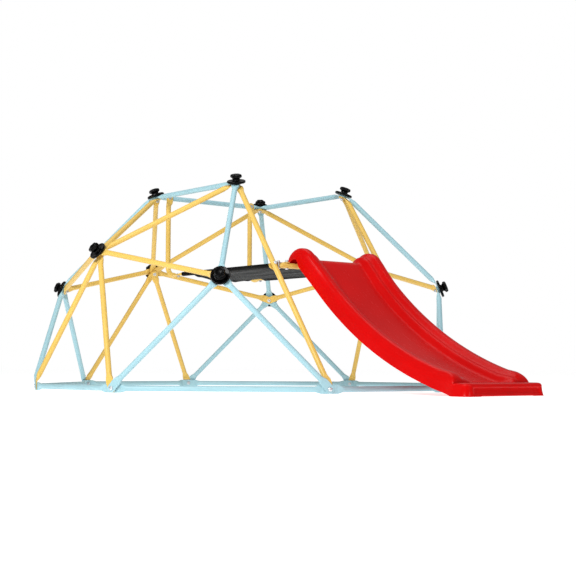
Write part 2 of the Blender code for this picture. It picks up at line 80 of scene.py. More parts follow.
HUB_R = 0.0395
HUB_NECK_R = 0.0158
HUB_KNOB_R = 0.0250
HUB_HEIGHT = 0.0375
HUB_VALLEY = 0.84
TOP_HUB_TILT = math.radians(19)
CORNER_HUB_RISE = math.radians(22)

FRONT_RAIL_Z = 0.494
SPARE_BOLT_Y = 0.279
PLATFORM_Y = 0.236
SIDE_RAIL_R = 0.008
SIDE_PLATE_W = 0.025
HANGER_FOOT_Z = 0.499
HANGER_BEND_R = 0.045
LAP_BOLT_X = 0.085

CLOTH_T = 0.0008
CLOTH_BACK = 0.037
CLOTH_FRONT = 0.032
CLOTH_RISE = 0.003
SLEEVE_R = 0.0092
SEAM_IN = 0.030           # sleeve's seam, inwards of the side rail
HEM_W = 0.010             # cloth left past the seam
STITCH = 0.0046           # one stitch and the space after it
CLOTH_ROWS = 92
CLOTH_MIDDLE = 56         # columns of the free sheet between the two seams
CLOTH_FRAMES = 24         # frames the cloth hangs for

SLIDE_T = 0.0045
SLIDE_TOP_Z = 0.523
SLIDE_CREST_X = 0.025
SLIDE_CREST_R = 0.055
SLIDE_HOOK = math.radians(50)
SLIDE_STEEP = math.radians(46)
SLIDE_STEEP_RUN = 0.097
SLIDE_BEND_R = 1.528
SLIDE_SHALLOW = math.radians(17)
SLIDE_EXIT_R = 0.137
SLIDE_FRONT_X = 0.955
SLIDE_HALF_W = 0.205
SLIDE_TOP_HALF_W = 0.217
RAIL_H = 0.045
RAIL_NOSE = 0.075
RAIL_TAIL = 0.080
RAIL_END = 0.071          # end of the slide's rails, behind the front of its foot
RAIL_FOOT_D = 0.104       # rail's inner foot, from the outer wall
SHOULDER = 0.026          # rail's rounded outer shoulder, from the outer wall
RIDGE_END = 0.040         # where the rail's ridge starts to fall to its ledge
LEDGE_IN = 0.071          # where the ledge starts, and LEDGE_END where it ends
LEDGE_END = 0.0735
LEDGE = 0.60              # ledge's height, as a share of the rail's
PAST_CREST = 40           # a row of the slide beyond its crest
BED_ROW = 60              # a row of the slide well down its bed
WALL_DROP = 0.025
TOE_ROUND = 0.012
TOE_EXTRA_W = 0.005       # foot's half width over the chute's
TOE_FLARE = 0.005         # foot's walls, out at the ground
RECESS = 0.0050

GROUND = -PLATE_W / 2
ROUND = 28                # points round a tube

FLOOR_GLOW = 0.67         # keeps the far floor as pale as the studio's walls
WORLD_LIGHT = 0.35        # studio walls, as the object sees them

SIDES = ("right", "back", "left", "front")
CORNERS = ("front_right", "back_right", "back_left", "front_left")
X, Y, Z = Vector((1, 0, 0)), Vector((0, 1, 0)), Vector((0, 0, 1))


def smooth_step(value):
    value = min(max(value, 0), 1)
    return value * value * (3 - 2 * value)


# ---- materials -------------------------------------------------------------

class Nodes:
    """A short way to write a material's node tree."""

    def __init__(self, name):
        self.material = bpy.data.materials.new(name)
        self.material.use_nodes = True
        self.tree = self.material.node_tree
        self.shader = self.tree.nodes["Principled BSDF"]
        self.place = self.add("ShaderNodeTexCoord").outputs["Object"]

    def add(self, kind, **settings):
        node = self.tree.nodes.new(kind)
        for key, value in settings.items():
            setattr(node, key, value)
        return node

    def join(self, source, target):
        self.tree.links.new(source, target)

    def noise(self, scale, detail=3.0, rough=0.5, stretch=(1, 1, 1), distortion=0.0):
        mapping = self.add("ShaderNodeMapping")
        mapping.inputs["Scale"].default_value = stretch
        self.join(self.place, mapping.inputs["Vector"])
        node = self.add("ShaderNodeTexNoise")
        node.inputs["Scale"].default_value = scale
        node.inputs["Detail"].default_value = detail
        node.inputs["Roughness"].default_value = rough
        node.inputs["Distortion"].default_value = distortion
        self.join(mapping.outputs["Vector"], node.inputs["Vector"])
        return node.outputs["Fac"]

    def cells(self, scale):
        node = self.add("ShaderNodeTexVoronoi", feature="F1")
        node.inputs["Scale"].default_value = scale
        self.join(self.place, node.inputs["Vector"])
        return node.outputs["Distance"]

    def remap(self, value, low, high, to_low, to_high):
        node = self.add("ShaderNodeMapRange")
        for key, number in (("From Min", low), ("From Max", high), ("To Min", to_low), ("To Max", to_high)):
            node.inputs[key].default_value = number
        self.join(value, node.inputs["Value"])
        return node.outputs["Result"]

    def maths(self, operation, a, b):
        node = self.add("ShaderNodeMath", operation=operation)
        for socket, value in zip(node.inputs, (a, b)):
            if isinstance(value, (int, float)):
                socket.default_value = value
            else:
                self.join(value, socket)
        return node.outputs["Value"]

    def mix(self, share, a, b):
        node = self.add("ShaderNodeMix", data_type="RGBA")
        self.join(share, node.inputs["Factor"])
        for key, value in (("A", a), ("B", b)):
            socket = [s for s in node.inputs if s.name == key and s.type == "RGBA"][0]
            if isinstance(value, tuple):
                socket.default_value = (*value, 1)
            else:
                self.join(value, socket)
        return [s for s in node.outputs if s.type == "RGBA"][0]

    def edges(self, low, high):
        """1 on the mesh's worn convex edges, 0 on its flats."""
        return self.remap(self.add("ShaderNodeNewGeometry").outputs["Pointiness"], low, high, 0, 1)

    def bump(self, height, strength, distance, below=None):
        node = self.add("ShaderNodeBump")
        node.inputs["Strength"].default_value = strength
        node.inputs["Distance"].default_value = distance
        self.join(height, node.inputs["Height"])
        if below:
            self.join(below, node.inputs["Normal"])
        return node.outputs["Normal"]

    def finish(self, colour, roughness, normal, **values):
        self.join(colour, self.shader.inputs["Base Color"])
        self.join(roughness, self.shader.inputs["Roughness"])
        self.join(normal, self.shader.inputs["Normal"])
        for key, value in values.items():
            self.shader.inputs[key.replace("_", " ")].default_value = value
        return self.material


def scaled(colour, factor):
    return tuple(min(1.0, c * factor) for c in colour)


def paint(name, colour):
    """Powder coat on steel: orange peel, faint cloudiness, small scuffs and slightly paler edges."""
    n = Nodes(name)
    cloud = n.noise(7, 4)
    tone = n.mix(n.remap(cloud, 0.3, 0.7, 0, 1), scaled(colour, 0.95), scaled(colour, 1.03))
    scuff = n.remap(n.noise(42, 6, 0.6, distortion=0.8), 0.68, 0.78, 0, 0.16)
    tone = n.mix(scuff, tone, scaled(colour, 0.78))
    tone = n.mix(n.maths("MULTIPLY", n.edges(0.60, 0.75), 0.12), tone, scaled(colour, 1.2))
    peel = n.noise(380, 2, 0.4)
    rough = n.remap(n.noise(90, 5), 0.3, 0.7, 0.32, 0.42)
    rough = n.maths("ADD", rough, n.maths("MULTIPLY", scuff, 0.5))
    normal = n.bump(peel, 0.03, 0.0002)
    normal = n.bump(scuff, 0.06, 0.0001, normal)
    return n.finish(tone, rough, normal, Specular_IOR_Level=0.30, Coat_Weight=0.06, Coat_Roughness=0.2)


def moulded_black(name):
    """Glossy moulded nylon: faint flow marks, fine pits and rubbed edges."""
    n = Nodes(name)
    flow = n.noise(30, 5, 0.6, stretch=(1, 1, 2.5), distortion=0.6)
    tone = n.mix(n.remap(flow, 0.35, 0.65, 0, 1), (0.0006, 0.0006, 0.0006), (0.0016, 0.0016, 0.0017))
    tone = n.mix(n.maths("MULTIPLY", n.edges(0.53, 0.62), 0.5), tone, (0.012, 0.012, 0.013))
    scratch = n.remap(n.noise(160, 8, 0.75, distortion=1.5), 0.62, 0.72, 0, 1)
    rough = n.remap(flow, 0.3, 0.7, 0.12, 0.22)
    rough = n.maths("ADD", rough, n.maths("MULTIPLY", scratch, 0.16))
    normal = n.bump(n.noise(500, 3), 0.10, 0.0003)
    return n.finish(tone, rough, normal, Specular_IOR_Level=0.09)


def moulded_red(name):
    """Semi-gloss polyethylene: leathery mould grain, cloudy depth and fine rubbing along the way down."""
    n = Nodes(name)
    cloud = n.noise(4.5, 4, 0.5)
    tone = n.mix(n.remap(cloud, 0.3, 0.7, 0, 1), (0.50, 0.0006, 0.0006), (0.58, 0.0014, 0.0014))
    grain = n.cells(520)
    rub = n.noise(26, 7, 0.65, stretch=(0.25, 6, 1.2))
    tone = n.mix(n.maths("MULTIPLY", n.edges(0.515, 0.57), 0.35), tone, (0.66, 0.03, 0.028))
    rough = n.remap(rub, 0.3, 0.7, 0.18, 0.28)
    rough = n.maths("ADD", rough, n.remap(n.noise(240, 4), 0.3, 0.7, -0.02, 0.03))
    normal = n.bump(grain, 0.16, 0.0004)
    normal = n.bump(n.noise(14, 3), 0.10, 0.0012, normal)
    return n.finish(tone, rough, normal, Specular_IOR_Level=0.10)


def woven_black(name):
    """Coated oxford cloth: two crossing threads, and long slack bands, smoother and greyed with painted sheen.
    """
    n = Nodes(name)
    threads = []
    for direction in ("X", "Y"):
        wave = n.add("ShaderNodeTexWave", bands_direction=direction, wave_profile="SIN")
        wave.inputs["Scale"].default_value = 210
        wave.inputs["Distortion"].default_value = 0.3
        wave.inputs["Detail Scale"].default_value = 3.0
        n.join(n.place, wave.inputs["Vector"])
        threads.append(wave.outputs["Fac"])
    weave = n.maths("MAXIMUM", threads[0], threads[1])
    slack_and_sheen = n.noise(9, 4, 0.6, stretch=(0.16, 2.4, 1))
    tone = n.mix(n.remap(weave, 0.2, 1.0, 0, 1), (0.0010, 0.0010, 0.0011), (0.0030, 0.0030, 0.0031))
    # The greyer colour along the slack bands is painted sheen, not the cloth's own colour.
    tone = n.mix(n.remap(slack_and_sheen, 0.50, 0.68, 0, 0.75), tone, (0.014, 0.014, 0.013))
    rough = n.remap(slack_and_sheen, 0.35, 0.65, 0.62, 0.42)
    normal = n.bump(weave, 0.35, 0.0004)
    normal = n.bump(slack_and_sheen, 0.30, 0.004, normal)
    return n.finish(tone, rough, normal, Specular_IOR_Level=0.05)


def stitching(name):
    n = Nodes(name)
    twist = n.noise(900, 2)
    tone = n.mix(twist, (0.02, 0.02, 0.02), (0.07, 0.07, 0.068))
    return n.finish(tone, n.remap(twist, 0.3, 0.7, 0.55, 0.75), n.bump(twist, 0.5, 0.0002))


def zinc(name):
    """Bright zinc on the bolts: soft spangle, fine turning marks and dull edges."""
    n = Nodes(name)
    spangle = n.cells(420)
    tone = n.mix(n.remap(spangle, 0.1, 0.7, 0, 1), (0.50, 0.53, 0.56), (0.72, 0.74, 0.76))
    tone = n.mix(n.maths("MULTIPLY", n.edges(0.52, 0.62), 0.5), tone, (0.34, 0.35, 0.37))
    rough = n.remap(n.noise(700, 4), 0.3, 0.7, 0.26, 0.46)
    return n.finish(tone, rough, n.bump(n.noise(1500, 2), 0.12, 0.0002), Metallic=0.9)


TEAL = paint("teal paint", (0.33, 0.54, 0.60))
YELLOW = paint("yellow paint", (0.70, 0.46, 0.10))
BLACK = moulded_black("black plastic")
RED = moulded_red("red plastic")
CLOTH = woven_black("black cloth")
THREAD = stitching("thread")
ZINC = zinc("zinc")


# ---- meshes ----------------------------------------------------------------

def bridge(rings, bm=None):
    """A closed skin through rings of equally many points, with a flat cap at each end."""
    bm = bm or bmesh.new()
    made = [[bm.verts.new(point) for point in ring] for ring in rings]
    count = len(rings[0])
    faces = []
    for near, far in zip(made, made[1:]):
        for i in range(count):
            j = (i + 1) % count
            faces.append(bm.faces.new((near[i], near[j], far[j], far[i])))
    faces.append(bm.faces.new(made[0][::-1]))
    faces.append(bm.faces.new(made[-1]))
    bmesh.ops.recalc_face_normals(bm, faces=faces)
    return bm


def add_piece(name, bm, surface, slot, *nodes, crease=40):
    """A finished piece from a mesh laid out in the dome's frame. It rides on the object's one body."""
    mesh = bpy.data.meshes.new(name)
    bm.to_mesh(mesh)
    bm.free()
    mesh.transform(Matrix.Translation(SHIFT))
    mesh.materials.append(surface)
    mesh.shade_smooth()
    mesh.set_sharp_from_angle(angle=math.radians(crease))
    obj = bpy.data.objects.new(name, mesh)
    bpy.context.scene.collection.objects.link(obj)
    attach(obj, "root")
    if nodes:
        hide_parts(*nodes)
    return obj


def filleted(corners, steps=4):
    """Points (radius, height) of an outline whose corners (radius, height, fillet) are rounded."""
    path = []
    for i, (x, y, fillet) in enumerate(corners):
        here = Vector((x, y))
        if not fillet or i in (0, len(corners) - 1):
            path.append(here)
            continue
        before = Vector(corners[i - 1][:2]) - here
        after = Vector(corners[i + 1][:2]) - here
        half = before.angle(after) / 2
        reach = min(fillet / math.tan(half), 0.48 * before.length, 0.48 * after.length)
        bisector = (before.normalized() + after.normalized()).normalized()
        centre = here + bisector * reach / math.cos(half)
        start = here + before.normalized() * reach - centre
        end = here + after.normalized() * reach - centre
        for k in range(steps + 1):
            path.append(centre + start.lerp(end, k / steps).normalized() * start.length)
    return path


def turned(centre, axis, rows, sides=32, bm=None, hexagon=None, lobes=None):
    """A turned piece from (radius, height) rows. `hexagon` limits it to that corner radius. `lobes` is
    (height where a six-lobed knob starts, valley as a share of its radius)."""
    side = axis.orthogonal().normalized()
    up = axis.cross(side)
    rings = []
    for radius, height in rows:
        ring = []
        for i in range(sides):
            angle = math.tau * i / sides
            reach = radius
            if hexagon:
                flat = math.cos(math.pi / 6) / math.cos(angle % (math.pi / 3) - math.pi / 6)
                reach = min(reach, hexagon * flat)
            if lobes and height > lobes[0]:
                wave = (0.5 - 0.5 * math.cos(6 * angle)) ** 0.8
                share = smooth_step((radius / HUB_KNOB_R - 0.62) / 0.3)
                reach *= 1 - (1 - lobes[1]) * wave * share
            ring.append(centre + axis * height + (side * math.cos(angle) + up * math.sin(angle)) * reach)
        rings.append(ring)
    return bridge(rings, bm)


def washer(bm, centre, axis, height, sign):
    rows = filleted([
        (BOLT_R, height, 0),
        (HEAD_R, height, 0.0003),
        (HEAD_R, height + sign * WASHER_T, 0.0004),
        (BOLT_R, height + sign * WASHER_T, 0),
    ], 2)
    turned(centre, axis, rows, 28, bm)


def nut_and_thread(bm, centre, axis, height, sign, end=BOLT_END):
    """A chamfered hexagon nut on a washer, with the bolt's thread past it."""
    washer(bm, centre, axis, height, sign)
    low = height + sign * WASHER_T
    high = height + sign * NUT_T
    chamfer = 0.0009 * sign
    rows = [
        (BOLT_R, low), (0.90 * NUT_R, low), (1.02 * NUT_R, low + chamfer),
        (1.02 * NUT_R, high - chamfer), (0.90 * NUT_R, high), (0.70 * NUT_R, high), (BOLT_R, high - chamfer),
    ]
    turned(centre, axis, rows, 36, bm, hexagon=NUT_R)
    rows = [(BOLT_R, low)]
    count = int(end / THREAD_STEP)
    for k in range(count):
        level = high + sign * THREAD_STEP * k
        rows += [(BOLT_R, level), (0.90 * BOLT_R, level + sign * THREAD_STEP / 2)]
    rows += [(0.80 * BOLT_R, high + sign * end), (0.001, high + sign * end)]
    turned(centre, axis, rows, 20, bm)


def bolt(name, centre, axis, head, nut, slot):
    """A button-head bolt with its head resting at height `head` along the axis, and its nut at `nut`."""
    sign = 1 if head > nut else -1
    bm = bmesh.new()
    washer(bm, centre, axis, head, sign)
    under = head + sign * WASHER_T
    top = head + sign * HEAD_T
    rows = filleted([
        (0.001, under, 0),
        (0.94 * HEAD_R, under, 0.0004),
        (0.92 * HEAD_R, under + sign * 0.0010, 0.0006),
        (0.66 * HEAD_R, top - sign * 0.0006, 0.0030),
        (0.42 * HEAD_R, top, 0.0004),
    ], 3)
    rows += [(0.40 * HEAD_R, top - sign * 0.0002), (0.0005, top - sign * 0.0003)]
    turned(centre, axis, rows, 32, bm)
    socket = [(0.36 * HEAD_R, top + sign * 0.0001), (0.36 * HEAD_R, top - sign * 0.0003)]
    turned(centre, axis, socket, 30, bm, hexagon=0.34 * HEAD_R)
    turned(centre, axis, [(BOLT_R, head), (BOLT_R, nut)], 20, bm)
    nut_and_thread(bm, centre, axis, nut, -sign, 0.0024)
    return add_piece(name, bm, ZINC, slot)


# ---- tubes with pressed ends -----------------------------------------------

def oval(centre, wide, thick, half_w, half_t, flat, dent=0.0):
    """Points round a tube: an ellipse at flat 0, a plate with rounded edges at 1. A dent hollows its faces."""
    power = 1 / (1 + 2.2 * flat)
    ring = []
    for i in range(ROUND):
        angle = math.tau * (i + 0.5) / ROUND
        c, s = math.cos(angle), math.sin(angle)
        w = math.copysign(abs(c) ** power, c)
        t = math.copysign(abs(s) ** power, s) * (1 - dent * math.exp(-(c / 0.38) ** 2))
        ring.append(centre + wide * w * half_w + thick * t * half_t)
    return ring


def rounded_tip(place, away, thick, width):
    """Rings of the round tip of a pressed plate about its bolt, tip first."""
    wide = thick.cross(away)
    rings = []
    for degrees in (6, 16, 28, 42, 58, 74, 90):
        angle = math.radians(degrees)
        centre = place - away * width / 2 * math.cos(angle)
        half_t = PLATE_T / 2 * min(1, 0.55 + 1.6 * math.sin(angle))
        rings.append(oval(centre, wide, thick, width / 2 * math.sin(angle), half_t, 1))
    return rings


def tube_end(place, bend, away, out, into):
    """Rings from the tip to full round; `into` is the unit direction into the tube."""
    rings = rounded_tip(place, away, out, PLATE_W)
    for k in range(5):
        share = k / 4
        centre = bend - away * BEND_EASE * (1 - share) ** 2 + into * BEND_EASE * share ** 2
        along = (away * (1 - share) + into * share).normalized()
        thick = (out - along * out.dot(along)).normalized()
        rings.append(oval(centre, thick.cross(along), thick, PLATE_W / 2, PLATE_T / 2, 1))
    for k in range(1, 12):
        share = k / 11
        reach = BEND_EASE + (TAPER + 0.006 - BEND_EASE) * share
        half_t = PLATE_T / 2 + (TUBE_R - PLATE_T / 2) * (1 - (1 - share) ** 1.9)
        half_w = PLATE_W / 2 + (TUBE_R - PLATE_W / 2) * smooth_step(share)
        dent = 0.30 * math.sin(math.pi * share) * (1 - share)
        flat = (1 - share) ** 2
        rings.append(oval(bend + into * reach, thick.cross(into), thick, half_w, half_t, flat, dent))
    return rings


def follow_on(rings, more):
    """Adds the rings of the far end, tip last, each started at the point that twists the skin least."""
    for ring in more:
        ring = ring[::-1]
        before = rings[-1]
        step = (sum(ring, Vector()) - sum(before, Vector())) / ROUND
        best = min(
            range(ROUND),
            key=lambda k: sum((ring[(i + k) % ROUND] - before[i] - step).length for i in range(0, ROUND, 4)),
        )
        rings.append([ring[(i + best) % ROUND] for i in range(ROUND)])
    return rings


def bent_tube(near, far, near_out, far_out):
    bends, aways = [], []
    for here, there, out in ((near, far, near_out), (far, near, far_out)):
        away = there - here
        away = (away - out * away.dot(out)).normalized()
        bends.append(here + away * PLATE_REACH)
        aways.append(away)
    along = (bends[1] - bends[0]).normalized()
    first = tube_end(near, bends[0], aways[0], near_out, along)
    last = tube_end(far, bends[1], aways[1], far_out, -along)
    return bridge(follow_on(first, last[::-1]))


# ---- the dome's joints, as in the CAD source -------------------------------

def solve_layout():
    """Places of the hubs, from the two tube lengths and the base width, by Newton's method."""
    half = SHORT_TUBE / 2

    def misfit(v):
        corner, corner_z, top_z, side, side_z = v
        short, long = SHORT_TUBE ** 2, LONG_TUBE ** 2
        return np.array([
            (corner - half) ** 2 + (HALF_ACROSS - corner) ** 2 + corner_z ** 2 - short,
            2 * (corner - half) ** 2 + (top_z - corner_z) ** 2 - short,
            half ** 2 + (HALF_ACROSS - side) ** 2 + side_z ** 2 - long,
            half ** 2 + (side - half) ** 2 + (top_z - side_z) ** 2 - long,
            corner ** 2 + (side - corner) ** 2 + (side_z - corner_z) ** 2 - long,
        ])

    v = HALF_ACROSS * np.array([0.68, 0.48, 0.95, 0.87, 0.62])
    step = 1e-7
    for _ in range(20):
        slope = np.array([(misfit(v + step * unit) - misfit(v)) / step for unit in np.eye(5)]).T
        v = v - np.linalg.solve(slope, misfit(v))
    return [float(x) for x in v]


def heading(azimuth):
    return Vector((math.cos(azimuth), math.sin(azimuth), 0))


def dome_joints():
    """Every bolted joint of the dome: where its tubes' centre lines meet, and its bolt's way outwards."""
    corner, corner_z, top_z, side, side_z = solve_layout()
    joints = {}
    for k in range(4):
        azimuth = -math.pi / 2 * (k + 1)
        out, along = heading(azimuth), heading(azimuth + math.pi / 2)
        for end, way in ((0, 1), (1, -1)):
            place = out * HALF_ACROSS + along * way * SHORT_TUBE / 2
            joints["foot", k, end] = (place, heading(azimuth + way * math.pi / 8))
        if SIDES[k] != "front":
            place = out * side + Z * side_z
            joints["side", k] = (place, place.normalized())
    for j in range(4):
        out = heading(-math.pi / 4 - math.pi / 2 * j)
        place = out * corner * math.sqrt(2) + Z * corner_z
        rise = CORNER_HUB_RISE
        joints["corner", j] = (place, out * math.cos(rise) + Z * math.sin(rise))
        place = out * SHORT_TUBE / math.sqrt(2) + Z * top_z
        tilt = TOP_HUB_TILT
        joints["top", j] = (place, out * math.sin(tilt) + Z * math.cos(tilt))
    return joints


def dome_tubes():
    """Every tube of the dome: name, its two joints and whether it is yellow."""
    tubes = []
    for k, side in enumerate(SIDES):
        after = (k + 1) % 4
        tubes.append((f"base_short_{side}", ("foot", k, 0), ("foot", k, 1), False))
        if side == "front":
            continue
        tubes.append((f"top_rail_{side}", ("top", k), ("top", after), False))
        for i, corner in enumerate((k, after)):
            tubes.append((f"upper_brace_{side}_{i + 1}", ("top", corner), ("side", k), True))
            tubes.append((f"side_rail_{side}_{i + 1}", ("side", k), ("corner", corner), True))
            tubes.append((f"lower_brace_{side}_{i + 1}", ("side", k), ("foot", k, i), True))
    for j, corner in enumerate(CORNERS):
        before = (j - 1) % 4
        tubes.append((f"corner_post_{corner}", ("top", j), ("corner", j), False))
        tubes.append((f"corner_leg_{corner}_1", ("corner", j), ("foot", before, 1), False))
        tubes.append((f"corner_leg_{corner}_2", ("corner", j), ("foot", j, 0), False))
        tubes.append((f"base_long_{corner}", ("foot", before, 1), ("foot", j, 0), False))
    tubes.append(("slide_post_right", ("top", 0), ("foot", 3, 1), True))
    tubes.append(("slide_post_left", ("top", 3), ("foot", 3, 0), True))
    return tubes


def stack_plates(joints, tubes):
    """Where each tube end's plate lies on its bolt. The steeper a tube dives inwards, the deeper it lies."""
    ends = {joint: [] for joint in joints}
    for name, a, b, _ in tubes:
        for here, there in ((a, b), (b, a)):
            place, out = joints[here]
            dive = -(joints[there][0] - place).normalized().dot(out)
            if name.startswith("corner_post"):
                dive -= 0.3
            ends[here].append((round(dive, 4), "base_long" in name, name))
    places = {}
    for joint, found in ends.items():
        place, out = joints[joint]
        for k, (_, _, name) in enumerate(sorted(found)):
            level = PITCH * ((len(found) - 1) / 2 - k)
            places[name, joint] = place + out * (level - sink(joint))
    return places, {joint: len(found) for joint, found in ends.items()}


def sink(joint):
    return FOOT_SINK if joint[0] == "foot" else HUB_SINK


JOINTS = dome_joints()
TUBES = dome_tubes()
PLATES, STACKED = stack_plates(JOINTS, TUBES)


def centre_line(name, a, b):
    """A point on a dome tube's straight centre line, and its direction from joint a to joint b."""
    ends = []
    for joint, other in ((a, b), (b, a)):
        out = JOINTS[joint][1]
        place = PLATES[name, joint]
        away = PLATES[name, other] - place
        away = (away - out * away.dot(out)).normalized()
        ends.append(place + away * PLATE_REACH)
    return ends[0], (ends[1] - ends[0]).normalized()


def front_rail_place():
    """The front rail's middle. Its plates are flush with its inner side and lie inside the slide posts."""
    start, along = centre_line("slide_post_right", ("top", 0), ("foot", 3, 1))
    out = Vector((-along.z, 0, along.x)).normalized()
    post = start + along * (FRONT_RAIL_Z + out.z * PITCH - start.z) / along.z
    return Vector((post.x - out.x * PITCH, 0, FRONT_RAIL_Z)), out, abs(post.y)


RAIL, POST_OUT, POST_Y = front_rail_place()


def platform_places():
    """The hanger's bolt in the back top rail, its upright's centre line, and the side rail's lap bolt."""
    top, _ = centre_line("top_rail_back", ("top", 1), ("top", 2))
    place = Vector((top.x, 0, top.z))
    upright = Vector((top.x + PITCH, 0, 0))
    return place, upright, upright + X * LAP_BOLT_X + Z * HANGER_FOOT_Z


HANGER_BOLT, UPRIGHT, LAP = platform_places()
SIDE_RAIL_Z = FRONT_RAIL_Z + TUBE_R + PITCH - SIDE_RAIL_R
SHIFT = Vector((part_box("slide")[1].x - RAIL.x - SLIDE_FRONT_X, 0, -GROUND))


# ---- dome ------------------------------------------------------------------

def make_dome():
    for name, a, b, is_yellow in TUBES:
        bm = bent_tube(PLATES[name, a], PLATES[name, b], JOINTS[a][1], JOINTS[b][1])
        surface, slot = (YELLOW, "yellow_paint") if is_yellow else (TEAL, "teal_paint")
        add_piece(f"{name}_tube", bm, surface, slot, name)
    for joint, (place, out) in JOINTS.items():
        if joint[0] == "foot":
            reach = PITCH * STACKED[joint] / 2 + GAP
            name = f"foot_bolt_{SIDES[joint[1]]}_{joint[2] + 1}"
            bolt(name, place - out * sink(joint), out, reach, -reach, "teal_paint")


def make_hub(name, joint):
    """A dished flange, a waisted neck and a six-lobed knob, with the bolt's nut behind the tubes."""
    place, out = JOINTS[joint]
    place = place - out * sink(joint)
    low = PITCH * STACKED[joint] / 2 + GAP
    top = low + HUB_HEIGHT
    rows = filleted([
        (BOLT_R, low, 0),
        (0.60 * HUB_R, low, 0.004),
        (HUB_R - 0.0012, low + 0.0012, 0.0014),
        (HUB_R, low + 0.0052, 0.003),
        (HUB_R - 0.0010, low + 0.0114, 0.0026),
        (HUB_R - 0.0080, low + 0.0096, 0.003),
        (HUB_NECK_R + 0.0060, low + 0.0078, 0.005),
        (HUB_NECK_R, low + 0.0125, 0.005),
        (HUB_NECK_R - 0.0005, low + 0.0180, 0.004),
        (HUB_NECK_R + 0.0030, low + 0.0222, 0.003),
        (HUB_KNOB_R - 0.0015, low + 0.0240, 0.0022),
        (HUB_KNOB_R, low + 0.0290, 0.004),
        (HUB_KNOB_R - 0.0020, top - 0.0010, 0.0040),
        (HUB_KNOB_R - 0.0080, top + 0.0002, 0.004),
        (0.0095, top - 0.0026, 0.003),
        (0.0078, top - 0.0026, 0.0006),
        (0.0074, top - 0.0052, 0.0008),
        (0.0005, top - 0.0052, 0),
    ], 5)
    bm = turned(place, out, rows, 72, lobes=(low + 0.0215, HUB_VALLEY))
    add_piece(f"{name}_cap", bm, BLACK, "black_plastic", name, crease=55)
    bm = bmesh.new()
    turned(place, out, [(BOLT_R, low + 0.002), (BOLT_R, -low)], 20, bm)
    nut_and_thread(bm, place, out, -low, -1)
    add_piece(f"{name}_nut", bm, ZINC, "black_plastic")


# ---- front rail and platform -----------------------------------------------

def pressed_end(place, away, thick, centre, radius, width=PLATE_W, reach=0.018):
    """Rings of an end whose flat lies off the tube's centre line, from the tip to full round at `centre`."""
    wide = thick.cross(away)
    rings = rounded_tip(place, away, thick, width)
    start = place + away * reach
    rings.append(oval(place + away * 0.6 * reach, wide, thick, width / 2, PLATE_T / 2, 1))
    rings.append(oval(start, wide, thick, width / 2, PLATE_T / 2, 1))
    for k in range(1, 12):
        share = k / 11
        level = start.lerp(centre, share)
        level += thick * (centre - start).dot(thick) * (smooth_step(share) - share)
        half_t = PLATE_T / 2 + (radius - PLATE_T / 2) * (0.5 * share + 0.5 * smooth_step(share))
        half_w = width / 2 + (radius - width / 2) * smooth_step(share)
        dent = 0.25 * math.sin(math.pi * share) * (1 - share)
        rings.append(oval(level, wide, thick, half_w, half_t, (1 - share) ** 2, dent))
    return rings


def make_front_rail():
    ends = []
    for side in (-1, 1):
        place = RAIL + Y * side * POST_Y - POST_OUT * (TUBE_R - PLATE_T / 2)
        centre = RAIL + Y * side * (POST_Y - 0.040)
        ends.append(pressed_end(place, -Y * side, POST_OUT, centre, TUBE_R))
    bm = bridge(follow_on(ends[0], ends[1][::-1]))
    add_piece("front_rail_tube", bm, YELLOW, "yellow_paint", "front_rail")
    stack = TUBE_R + GAP + PITCH
    for hand, side in (("right", -1), ("left", 1)):
        place = RAIL + Y * side * POST_Y
        bolt(f"slide_post_bolt_{hand}", place, POST_OUT, PITCH + TUBE_R + GAP, -TUBE_R, "yellow_paint")
        place = RAIL + Y * side * PLATFORM_Y
        bolt(f"platform_bolt_{hand}", place, Z, -TUBE_R, stack, "yellow_paint")
        place = RAIL + Y * side * SPARE_BOLT_Y
        bolt(f"spare_bolt_{hand}", place, Z, -TUBE_R, TUBE_R, "yellow_paint")


def hanger_mesh(side):
    """From the back top rail straight down, then forwards along the side rail."""
    plate = HANGER_BOLT + X * (TUBE_R + GAP + PLATE_T / 2) + side
    below = UPRIGHT + Z * (plate.z - 0.040) + side
    rings = pressed_end(plate, -Z, X, below, TUBE_R)
    turn = UPRIGHT + X * HANGER_BEND_R + Z * (HANGER_FOOT_Z + HANGER_BEND_R) + side
    for k in range(13):
        angle = math.pi / 2 * k / 12
        away = Vector((math.cos(angle), 0, math.sin(angle)))
        rings.append(oval(turn - away * HANGER_BEND_R, Y, away, TUBE_R, TUBE_R, 0))
    foot = pressed_end(LAP - Z * PLATE_T / 2 + side, -X, Z, LAP - X * 0.036 + side, TUBE_R)
    return bridge(follow_on(rings, foot[::-1]))


def side_rail_mesh(side):
    ends = []
    back = LAP + Z * (PLATE_T / 2 + 0.0001) + side
    front = RAIL + Z * (TUBE_R + GAP + PLATE_T / 2) + side
    for place, away in ((back, X), (front, -X)):
        centre = Vector((place.x, place.y, SIDE_RAIL_Z)) + away * 0.030
        ends.append(pressed_end(place, away, Z, centre, SIDE_RAIL_R, SIDE_PLATE_W, 0.014))
    return bridge(follow_on(ends[0], ends[1][::-1]))


def make_platform_frames():
    for hand, way in (("right", -1), ("left", 1)):
        side = Y * way * PLATFORM_Y
        node = f"platform_frame_{hand}"
        add_piece(f"hanger_{hand}", hanger_mesh(side), YELLOW, "yellow_paint", node)
        add_piece(f"side_rail_{hand}", side_rail_mesh(side), YELLOW, "yellow_paint", node)
        bolt(f"lap_bolt_{hand}", LAP + side, Z, PLATE_T + 0.0002, -PLATE_T, "yellow_paint")
        bolt(f"hanger_bolt_{hand}", HANGER_BOLT + side, X, -TUBE_R - GAP, TUBE_R + PITCH, "yellow_paint")


# ---- cloth platform --------------------------------------------------------

